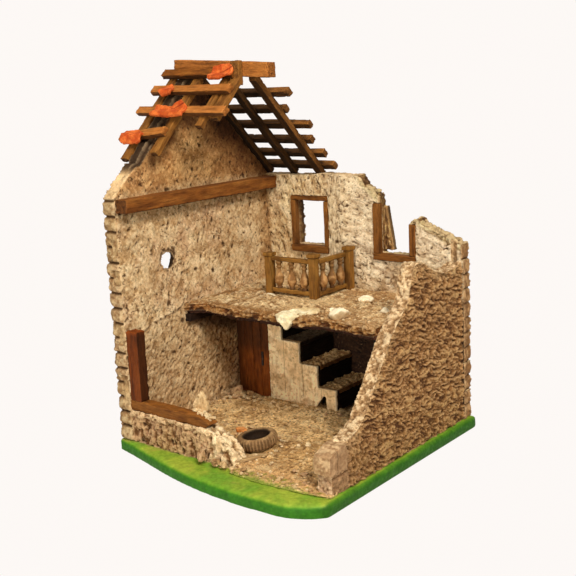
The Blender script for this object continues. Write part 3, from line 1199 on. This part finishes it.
# --------------------------------------------------------------- balustrade
# Height fraction and radius (mm) up a baluster
BALUSTER = [
    (0.0, 1.12), (0.05, 1.10), (0.07, 0.85), (0.12, 1.05), (0.20, 1.62), (0.30, 1.93),
    (0.40, 1.86), (0.50, 1.45), (0.60, 1.0), (0.68, 0.74), (0.74, 0.72), (0.77, 1.12),
    (0.81, 1.22), (0.84, 0.82), (0.88, 0.92), (0.92, 1.28), (0.96, 1.24), (1.0, 1.08)]
STATIONS = 46
SEGMENTS = 26


def lathe(cx, cy, radii, heights):
    """Closed triangulated solid of revolution about a vertical axis."""
    a = np.arange(SEGMENTS) * 2 * np.pi / SEGMENTS
    rings = [point(cx + r * np.cos(a), cy + r * np.sin(a), z) for r, z in zip(radii, heights)]
    verts = np.concatenate([[[cx, cy, heights[0]]], *rings, [[cx, cy, heights[-1]]]])
    faces = []
    for i in range(len(radii) - 1):
        low, high = 1 + i * SEGMENTS, 1 + (i + 1) * SEGMENTS
        for j in range(SEGMENTS):
            k = (j + 1) % SEGMENTS
            faces += [[low + j, low + k, high + k], [low + j, high + k, high + j]]
    last = len(verts) - 1
    for j in range(SEGMENTS):
        k = (j + 1) % SEGMENTS
        faces += [[0, 1 + k, 1 + j], [last, last - SEGMENTS + j, last - SEGMENTS + k]]
    return verts, np.array(faces)


def build_balusters():
    steps = np.linspace(0, 1, STATIONS)
    radii = np.interp(steps, *zip(*BALUSTER))
    radii[1:-1] = 0.25 * radii[:-2] + 0.5 * radii[1:-1] + 0.25 * radii[2:]
    for node in ("balusters_front", "balusters_side"):
        pieces = []
        for k, (box, _) in enumerate(shells(node)):
            low, high = box.min(0), box.max(0)
            cx, cy, _ = (low + high) / 2
            tall = high[2] - low[2]
            verts, faces = lathe(cx, cy, radii, low[2] + steps * tall)
            normal = normals(verts, faces)
            verts = verts + normal * (0.07 * fbm(verts, 1.2, 2, 751 + k))[:, None]
            h = (verts[:, 2] - low[2]) / tall
            lump = ramp(-0.2, 0.5, fbm(verts, 1.3, 3, 755 + k))
            col = layers(
                (132, 90, 46),
                ((176, 132, 80), lump),
                ((104, 72, 34), ramp(0.55, 0.75, h) * 0.6),
                ((212, 174, 118), lump * ramp(0.2, 0.9, normal[:, 2]) * ramp(0.7, 0.5, h) * 0.6),
                ((66, 38, 14), ramp(0.16, 0.06, h) * 0.7))
            pieces.append((verts, faces, col, None))
        put(node + "_turned", pieces, "tile", "baluster_timber", node)


# --------------------------------------------------------------------- tyre
# Radius and height of the tyre section, once round
TYRE_SECTION = [
    (4.75, -1.55), (5.05, -1.95), (5.6, -2.12), (6.25, -2.08), (6.8, -1.86), (7.15, -1.45),
    (7.35, -0.95), (7.42, -0.45), (7.42, 0.45), (7.35, 0.95), (7.15, 1.45), (6.8, 1.86),
    (6.25, 2.08), (5.6, 2.12), (5.05, 1.95), (4.75, 1.55), (4.9, 1.1), (5.1, 0.5),
    (5.1, -0.5), (4.9, -1.1)]
LUGS = 36
TYRE_STEPS = 6 * LUGS


def build_tyre():
    low, high = node_box("tyre")
    tilt = np.array(Matrix.Rotation(math.radians(5), 3, "X")
                    @ Matrix.Rotation(math.radians(-5), 3, "Y"))
    m = len(TYRE_SECTION)
    verts, faces = [], []
    for i in range(TYRE_STEPS):
        a = 2 * np.pi * i / TYRE_STEPS
        lug = 0.5 + 0.5 * math.cos(a * LUGS)
        lug = 1 / (1 + math.exp(-(lug - 0.45) * 9))
        for r, z in TYRE_SECTION:
            tread = max(0.0, min(1.0, (r - 6.2) / 0.7))
            r = r + 0.34 * (lug - 0.6) * tread
            z = z + 0.10 * (lug - 0.6) * np.sign(z) * tread
            verts.append([r * math.cos(a), r * math.sin(a), z])
        here, ahead = i * m, ((i + 1) % TYRE_STEPS) * m
        for j in range(m):
            k = (j + 1) % m
            faces.append([here + j, ahead + j, ahead + k, here + k])
    verts, faces = np.array(verts), np.array(faces)
    verts = verts + normals(verts, faces) * (0.08 * fbm(verts, 2.0, 3, 761))[:, None]
    t, _ = convexity(verts, faces, edges_of(faces), 0)
    col = layers(
        (116, 84, 50),
        ((156, 120, 76), ramp(0.0, 0.5, fbm(verts, 2.6, 3, 762))),
        ((176, 140, 94), ramp(0.01, 0.06, t) * 0.45),
        ((40, 26, 14), ramp(0.005, 0.04, -t) * 0.8),
        ((28, 18, 10), ramp(5.3, 4.9, np.hypot(verts[:, 0], verts[:, 1])) * 0.85))
    placed = verts @ tilt.T + np.array([TYRE_X, TYRE_Y, (low[2] + high[2]) / 2 + 0.05])
    put("tyre_ribbed", [(placed, faces, col, None)], "rubber", "tyre_rubber", "tyre")


# -------------------------------------------------------------------- tiles
def build_tiles():
    slope_up = np.array([0, 1, 1]) / math.sqrt(2)
    slope_out = np.array([0, -1, 1]) / math.sqrt(2)
    pieces = []
    for k, mesh in enumerate(shells("roof_tiles")):
        body, pos, (x, _, _), _ = carve(mesh, 0.20)
        centre = pos.mean(0)
        u = x - centre[0]
        w = (pos - centre) @ slope_up
        outward = body.normal @ slope_out
        # slight roll of a pantile and a lifted, cracked corner
        corner = ramp(2, 7, u * (1 if k != 1 else -1)) * ramp(-1, 3, w)
        roll = 0.55 * np.cos(w * 1.15 + k) + 0.45 * corner
        crack = band(w - 0.35 * u + 0.6 * math.sin(k * 2.1), 0.22) * ramp(-1.0, 0.5, u)
        body.verts = body.verts + slope_out * (roll - 0.2)[:, None]
        body.push(0.12 * fbm(pos, 1.4, 3, 771 + k) - 0.30 * crack * ramp(0.3, 0.8, outward))
        t, _ = body.roundness()
        col = layers(
            (186, 80, 27),
            ((214, 108, 44), ramp(-0.2, 0.6, fbm(pos, 2.2, 3, 775 + k))),
            ((170, 58, 18), ramp(0.1, 0.6, fbm(pos, 1.2, 3, 779 + k)) * 0.5),
            ((120, 36, 10), crack * 0.85),
            ((246, 146, 86), ramp(0.03, 0.25, t) * 0.5),
            ((130, 50, 20), ramp(0.3, 0.8, -outward) * 0.6))
        pieces.append(body.piece(col))
    put("roof_tiles_broken", pieces, "tile", "orange_tile", "roof_tiles")


def build_fallen_tile():
    body, pos, _, _ = carve(cad("fallen_tile"), 0.2)
    body.push(0.15 * fbm(pos, 1.2, 3, 781))
    col = mix((196, 116, 52), (222, 150, 84), ramp(-0.3, 0.5, fbm(pos, 1.5, 3, 782)))
    put("fallen_tile_broken", [body.piece(col)], "tile", "orange_tile", "fallen_tile")


# ------------------------------------------------------------- loose stones
def ico(subdivisions):
    bm = bmesh.new()
    bmesh.ops.create_icosphere(bm, subdivisions=subdivisions, radius=1.0)
    verts = np.array([v.co[:] for v in bm.verts])
    faces = np.array([[v.index for v in f.verts] for f in bm.faces])
    bm.free()
    return verts, faces


SMALL_BALL, BIG_BALL = ico(2), ico(3)


def rock(centre, dims, seed, turn, big=True):
    """Faceted broken stone: a ball cut by random planes, then roughened."""
    verts, faces = BIG_BALL if big else SMALL_BALL
    rand = np.random.RandomState(seed)
    for _ in range(9 if big else 6):
        d = rand.normal(size=3)
        d /= np.linalg.norm(d)
        h = rand.uniform(0.45, 0.8)
        k = verts @ d
        verts = np.where((k > h)[:, None], verts - d * (k - h)[:, None], verts)
    verts = verts * (np.array(dims) / 2)
    c, s = math.cos(turn), math.sin(turn)
    verts = verts @ np.array([[c, -s, 0], [s, c, 0], [0, 0, 1]]).T
    lump = 0.17 * fbm(verts + seed * 3.1, 0.45 * max(dims), 3, seed)
    if big:
        lump = lump + 0.10 * fbm(verts + seed * 5.7, 0.9, 3, seed + 1)
    verts = verts + normals(verts, faces) * (min(dims) * 0.5 * lump)[:, None]
    return verts + np.array(centre), faces


# Stone tones: base, light, dark
STONES = [
    ((186, 148, 100), (216, 182, 132), BROWN), ((172, 130, 90), (200, 162, 116), BROWN),
    ((150, 112, 70), (188, 150, 100), DARK), ((200, 168, 120), (228, 202, 156), BROWN)]


def painted_rock(mesh, tone, seed):
    verts, faces = mesh
    base, light, dark = STONES[tone]
    t, normal = convexity(verts, faces, edges_of(faces), 0)
    t = t / (np.linalg.norm(verts.max(0) - verts.min(0)) / 12)
    col = layers(
        base,
        (light, ramp(-0.3, 0.6, fbm(verts, 1.6, 3, seed))),
        (light, ramp(0.02, 0.2, t) * 0.6),
        (dark, ramp(0.02, 0.2, -t) * 0.5),
        (dark, ramp(-0.1, -0.7, normal[:, 2]) * 0.5))
    return verts, faces, col, None


def pebble(centre, size, seed, turn, tone, paint_seed, shape=(1.3, 1.0, 0.9)):
    return painted_rock(rock(centre, size * np.array(shape), seed, turn, big=False),
                        tone, paint_seed)


def ground_scatter(rand):
    """Fine scatter: thicker near walls, door and the broken front."""
    spots = []
    for _ in range(420):
        x, y = rand.uniform(7, 93), rand.uniform(9, 60)
        chance = (0.10 + 0.75 * math.exp(-(x - 6) / 7) + 0.6 * math.exp(-abs(y - 59) / 4)
                  + 0.5 * math.exp(-(93 - x) / 5)
                  + 0.35 * math.exp(-((x - 44) ** 2 + (y - 30) ** 2) / 160))
        if rand.uniform() < chance:
            spots.append((x, y))
    for _ in range(60):
        spots.append((rand.uniform(57, 94), rand.uniform(-3, 8)))
    for _ in range(26):
        spots.append((rand.uniform(48, 60), rand.uniform(-3.4, 9)))
    for k, (x, y) in enumerate(spots):
        under_tyre = (x - TYRE_X) ** 2 + (y - TYRE_Y) ** 2 < 70
        if under_tyre or (y < 6.8 and x < 57 and y > -0.2):
            continue
        size = 0.5 + 1.3 * rand.uniform() ** 2.2
        if y < 8:
            ground = 0.7 + (y + 4) / 12
        else:
            ground = 1.7 + (y - 8) * 0.05 if y < 24 else 2.5
        yield pebble((x, y, ground + 0.22 * size), size, 900 + k, rand.uniform(0, 3),
                     rand.randint(4), 860 + k % 7)


def corner_heap(rand):
    """Heap of broken stone in the corner left of the door."""
    for k in range(46):
        a, q = rand.uniform(0, 6.28), rand.uniform() ** 0.7
        x, y = 9.6 + 4.2 * q * math.cos(a), 55.2 + 4.6 * q * math.sin(a)
        if x < 6.2 or y > 60.8:
            continue
        size = 1.0 + 1.7 * rand.uniform() ** 1.5
        z = 2.3 + 3.4 * (1 - q) ** 1.2 * rand.uniform(0.4, 1.0)
        yield pebble((x, y, z + 0.2 * size), size, 2000 + k, rand.uniform(0, 3),
                     rand.choice([0, 1, 3]), 890 + k % 7, (1.35, 1.0, 0.95))


def sill_scatter(rand):
    """Broken stone on the end of the sill timber and against the slab."""
    for k in range(34):
        q = rand.uniform()
        x, y = 36.5 + 9.0 * q + rand.normal() * 0.8, 4.3 - 1.6 * q + rand.normal() * 0.8
        size = 0.7 + 1.2 * rand.uniform()
        z = 16.5 - 1.6 * ramp(41.0, 46.0, x)
        yield pebble((x, y, z + 0.1 * size), size, 2300 + k, rand.uniform(0, 3),
                     rand.choice([0, 3, 3]), 899 + k % 7, (1.4, 1.0, 1.0))


def foot_drift(rand):
    """Drift along the foot of the gable and around the tyre."""
    for k in range(150):
        if k < 80:
            x, y = 6.2 + abs(rand.normal()) * 1.6, rand.uniform(12, 56)
        else:
            a = rand.uniform(0, 6.28)
            x = TYRE_X + (8.2 + abs(rand.normal()) * 1.5) * math.cos(a)
            y = TYRE_Y + (8.2 + abs(rand.normal()) * 1.5) * math.sin(a)
            if y < 7:
                continue
        size = 0.45 + 1.0 * rand.uniform() ** 1.8
        z = ground_top(x, y) + 0.45 + 0.15 * size
        yield pebble((x, y, z), size, 2100 + k, rand.uniform(0, 3), rand.randint(4), 895 + k % 7)


def floor_scatter(rand):
    """Scatter on the upper floor: even at first, then around the plaster lumps."""
    lumps = [(v.min(0), v.max(0)) for v, _ in shells("plaster_lumps")]
    for k in range(230):
        x, y = rand.uniform(8, 93), rand.uniform(36.5, 84)
        if k >= 90:
            low, high = lumps[k % len(lumps)]
            x, y = ((low[i] + high[i]) / 2 + rand.normal() * (high[i] - low[i]) * 0.6
                    for i in (0, 1))
            if low[2] < 40 or y < 36.5 or x > 93 or y > 84:
                continue
        if 22 < x < 54 and y > 58:
            continue
        size = 0.45 + 1.0 * rand.uniform() ** 2
        yield pebble((x, y, 47.4 + 0.25 * size), size, 1500 + k, rand.uniform(0, 3),
                     rand.choice([0, 3, 3, 2]), 870 + k % 7)


def build_rubble():
    pieces = []
    for k, (verts, _) in enumerate(shells("rubble_stones")):
        low, high = verts.min(0), verts.max(0)
        dims = (high - low) * np.array([1.12, 1.12, 1.25])
        pieces.append(painted_rock(rock((low + high) / 2, dims, 800 + k, k * 1.3), k % 4, 830 + k))
    rand = np.random.RandomState(77)
    for scatter in (ground_scatter, corner_heap, sill_scatter, foot_drift, floor_scatter):
        pieces += scatter(rand)
    put("rubble_stones_loose", pieces, "rubble_stone", "rubble_masonry", "rubble_stones",
        smooth=False)


def build_slab():
    body, pos, _, _ = carve(cad("leaning_stone"), 0.22)
    body.push(0.22 * fbm(pos, 2.4, 3, 881) + 0.08 * fbm(pos, 0.8, 2, 882))
    fine = fbm(pos, 1.1, 3, 884)
    col = layers(
        (196, 160, 110),
        ((222, 190, 140), ramp(-0.2, 0.6, fbm(pos, 2.5, 3, 883) + 0.5 * fine)),
        ((134, 98, 56), ramp(0.2, 0.7, -fine) * 0.6))
    put("leaning_stone_slab", [body.piece(wash(body, col, deep=0.9, dry=0.9))],
        "smooth_stone", "pale_stone", "leaning_stone")


# ------------------------------------------------- plaster, reveal and latch
def build_plaster_lumps():
    pieces = []
    for k, (box, _) in enumerate(shells("plaster_lumps")):
        low, high = box.min(0), box.max(0)
        centre = (low + high) / 2 - np.array([0, 0, 0.15])
        dims = (high - low) * np.array([1.30, 1.30, 1.75])
        verts, faces = rock(centre, dims, 1200 + k, k * 0.7)
        up = normals(verts, faces)[:, 2]
        col = layers(
            (196, 168, 124),
            ((240, 224, 186), ramp(-0.2, 0.6, up + 0.6 * fbm(verts, 1.2, 3, 1220))),
            ((170, 130, 84), ramp(-0.1, -0.7, up) * 0.6))
        pieces.append((verts, faces, col, None))
    put("plaster_lumps_broken", pieces, "chalk", "white_plaster", "plaster_lumps")


def build_plaster_spill():
    body, pos, (_, y, _), _ = carve(cad("plaster_spill"), 0.24, smooth=8)
    body.push(0.42 * fbm(pos, 2.4, 3, 1231) + 0.22 * fbm(pos, 0.9, 2, 1232))
    col = layers(
        (222, 202, 156),
        ((240, 226, 186), ramp(-0.2, 0.5, fbm(pos, 1.8, 3, 1233))),
        ((204, 170, 116), ramp(38, 44, y + 2 * fbm(pos, 3, 2, 1234)) * 0.75))
    col = wash(body, col, dark=(190, 160, 108), deep=0.7, dry=0.4, blur=2)
    put("plaster_spill_run", [body.piece(col)], "chalk", "white_plaster", "plaster_spill")


def build_reveal():
    """Rubble and broken boarding left in window 2, between jamb and fallen head."""
    jambs = node_box("window_2_jambs")
    (head_x0, _, head_z0), (head_x1, _, head_z1) = node_box("window_2_fallen_head")
    left, sill, top = jambs[0, 0] + 1.6, jambs[0, 2], head_z1 + 0.4
    outline = [(left, sill + 1.6), (head_x1 - 1.0, sill + 1.2), (head_x1 - 0.9, head_z0 + 1.2),
               (head_x0 + 0.7, top - 0.8), (head_x0 - 0.6, top + 0.6), (left, top + 1.4)]
    m = len(outline)
    verts = np.array([(x, y, z) for y in (87.9, 90.6) for x, z in outline], float)
    faces = []
    for i in range(1, m - 1):
        faces += [[0, i, i + 1], [m, m + i + 1, m + i]]
    for i in range(m):
        j = (i + 1) % m
        faces += [[i, m + i, m + j], [i, m + j, j]]
    body, pos, (x, _, _), _ = carve((verts, np.array(faces)), 0.22)
    grain = fbm(pos * np.array([1.0, 1.0, 0.22]), 1.0, 3, 1401)
    fine = fbm(pos, 1.2, 3, 1402)
    body.push(0.30 * grain + 0.22 * fine - 0.3 * ramp(1.6, 0.4, x - left - 1.1))
    seam = np.abs(x - (left + 0.52 * (head_x1 - left)) + 0.4 * fine)
    col = layers(
        (136, 96, 52),
        ((184, 150, 92), ramp(-0.1, 0.5, grain + 0.3 * fine)),
        ((78, 48, 20), ramp(0.05, 0.5, -grain) * 0.75),
        ((70, 42, 18), ramp(0.5, 0.0, seam) * 0.6))
    put("window_2_broken_reveal", [body.piece(wash(body, col, dry=0.6))],
        "rubble_stone", "plastered_masonry")


def build_latch():
    body, pos, _, _ = carve(cad("door_latch"), 0.12)
    body.push(0.04 * fbm(pos, 0.8, 2, 1301))
    col = mix((30, 16, 8), (64, 38, 20), ramp(-0.2, 0.6, fbm(pos, 1.0, 3, 1302)))
    put("door_latch_forged", [body.piece(col)], "iron", "dark_iron", "door_latch")


for build in (build_gable, build_back, build_end, build_block, build_dwarf, build_timber,
              build_screed, build_ground, build_base, build_stair_panel, build_stair_treads,
              build_balusters, build_tyre, build_tiles, build_fallen_tile, build_rubble,
              build_slab, build_plaster_lumps, build_plaster_spill, build_reveal, build_latch):
    build()


# ------------------------------------------------------- stage and camera
PAPER = (0.982, 0.942, 0.914, 1)  # backdrop colour the camera sees
scene = bpy.context.scene


def build_stage():
    """Pale floor that lights like a matt surface but shows as plain paper."""
    me = bpy.data.meshes.new("floor")
    me.from_pydata([(-9, -9, 0), (9, -9, 0), (9, 9, 0), (-9, 9, 0)], [], [(0, 1, 2, 3)])
    ob = bpy.data.objects.new("floor", me)
    scene.collection.objects.link(ob)
    mat = bpy.data.materials.new("pale_floor")
    mat.use_nodes = True
    nodes, link = mat.node_tree.nodes, mat.node_tree.links.new
    shader = nodes["Principled BSDF"]
    shader.inputs["Base Color"].default_value = (0.80, 0.78, 0.75, 1)
    shader.inputs["Roughness"].default_value = 0.9
    shader.inputs["Specular IOR Level"].default_value = 0.0
    path = nodes.new("ShaderNodeLightPath")
    glow = nodes.new("ShaderNodeEmission")
    glow.inputs["Color"].default_value = PAPER
    glow.inputs["Strength"].default_value = 1.0
    mixer = nodes.new("ShaderNodeMixShader")
    share = nodes.new("ShaderNodeMath")
    share.operation = "MULTIPLY"
    share.inputs[1].default_value = 1.0
    link(path.outputs["Is Camera Ray"], share.inputs[0])
    link(share.outputs[0], mixer.inputs[0])
    link(shader.outputs[0], mixer.inputs[1])
    link(glow.outputs[0], mixer.inputs[2])
    link(mixer.outputs[0], nodes["Material Output"].inputs[0])
    me.materials.append(mat)


def away(azimuth, elevation):
    """Unit direction; azimuth 0 is the front and 90 is +x (radians in)."""
    return Vector((math.sin(azimuth) * math.cos(elevation),
                   -math.cos(azimuth) * math.cos(elevation), math.sin(elevation)))


def area(name, azimuth, elevation, distance, size, power, color=(1, 1, 1)):
    """Disk light aimed at a point just above the floor's centre."""
    direction = away(math.radians(azimuth), math.radians(elevation))
    light = bpy.data.lights.new(name, "AREA")
    light.shape = "DISK"
    light.size = size
    light.energy = power
    light.color = color
    ob = bpy.data.objects.new(name, light)
    scene.collection.objects.link(ob)
    ob.location = Vector((0, 0, 0.06)) + direction * distance
    ob.rotation_euler = direction.to_track_quat("Z", "Y").to_euler()


def build_world():
    world = bpy.data.worlds.new("studio")
    scene.world = world
    world.use_nodes = True
    nodes, link = world.node_tree.nodes, world.node_tree.links.new
    nodes.clear()
    out = nodes.new("ShaderNodeOutputWorld")
    ambient = nodes.new("ShaderNodeBackground")
    ambient.inputs["Color"].default_value = (1, 0.98, 0.96, 1)
    ambient.inputs["Strength"].default_value = 0.13
    backdrop = nodes.new("ShaderNodeBackground")
    backdrop.inputs["Color"].default_value = PAPER
    backdrop.inputs["Strength"].default_value = 1.0
    path = nodes.new("ShaderNodeLightPath")
    mixer = nodes.new("ShaderNodeMixShader")
    link(path.outputs["Is Camera Ray"], mixer.inputs[0])
    link(ambient.outputs[0], mixer.inputs[1])
    link(backdrop.outputs[0], mixer.inputs[2])
    link(mixer.outputs[0], out.inputs[0])


def build_camera(azimuth, elevation, roll, location):
    back = away(math.radians(azimuth), math.radians(elevation))
    right = Vector((0, 0, 1)).cross(back).normalized()
    up = back.cross(right)
    c, s = math.cos(math.radians(roll)), math.sin(math.radians(roll))
    camera = bpy.data.cameras.new("camera")
    camera.sensor_width = 36
    camera.lens = 61.1675
    camera.shift_x = -0.002760417
    camera.shift_y = -0.021319444
    camera.clip_start = 0.01
    ob = bpy.data.objects.new("camera", camera)
    scene.collection.objects.link(ob)
    pose = Matrix((c * right + s * up, -s * right + c * up, back)).transposed().to_4x4()
    pose.translation = Vector(location)
    ob.matrix_world = pose
    scene.camera = ob


build_stage()
area("key", azimuth=60, elevation=41, distance=0.9, size=0.28, power=6.7, color=(1.0, 0.97, 0.93))
area("front", azimuth=2, elevation=9, distance=1.1, size=0.50, power=5.3, color=(1.0, 0.97, 0.94))
area("top", azimuth=30, elevation=76, distance=1.0, size=0.60, power=3.3, color=(1.0, 0.98, 0.96))
area("back", azimuth=200, elevation=45, distance=1.0, size=0.5, power=2.2)
build_world()
scene.view_settings.view_transform = "Standard"
scene.view_settings.look = "None"
build_camera(azimuth=39.24, elevation=11.52, roll=-2.67, location=(0.2282, -0.2804, 0.1387))
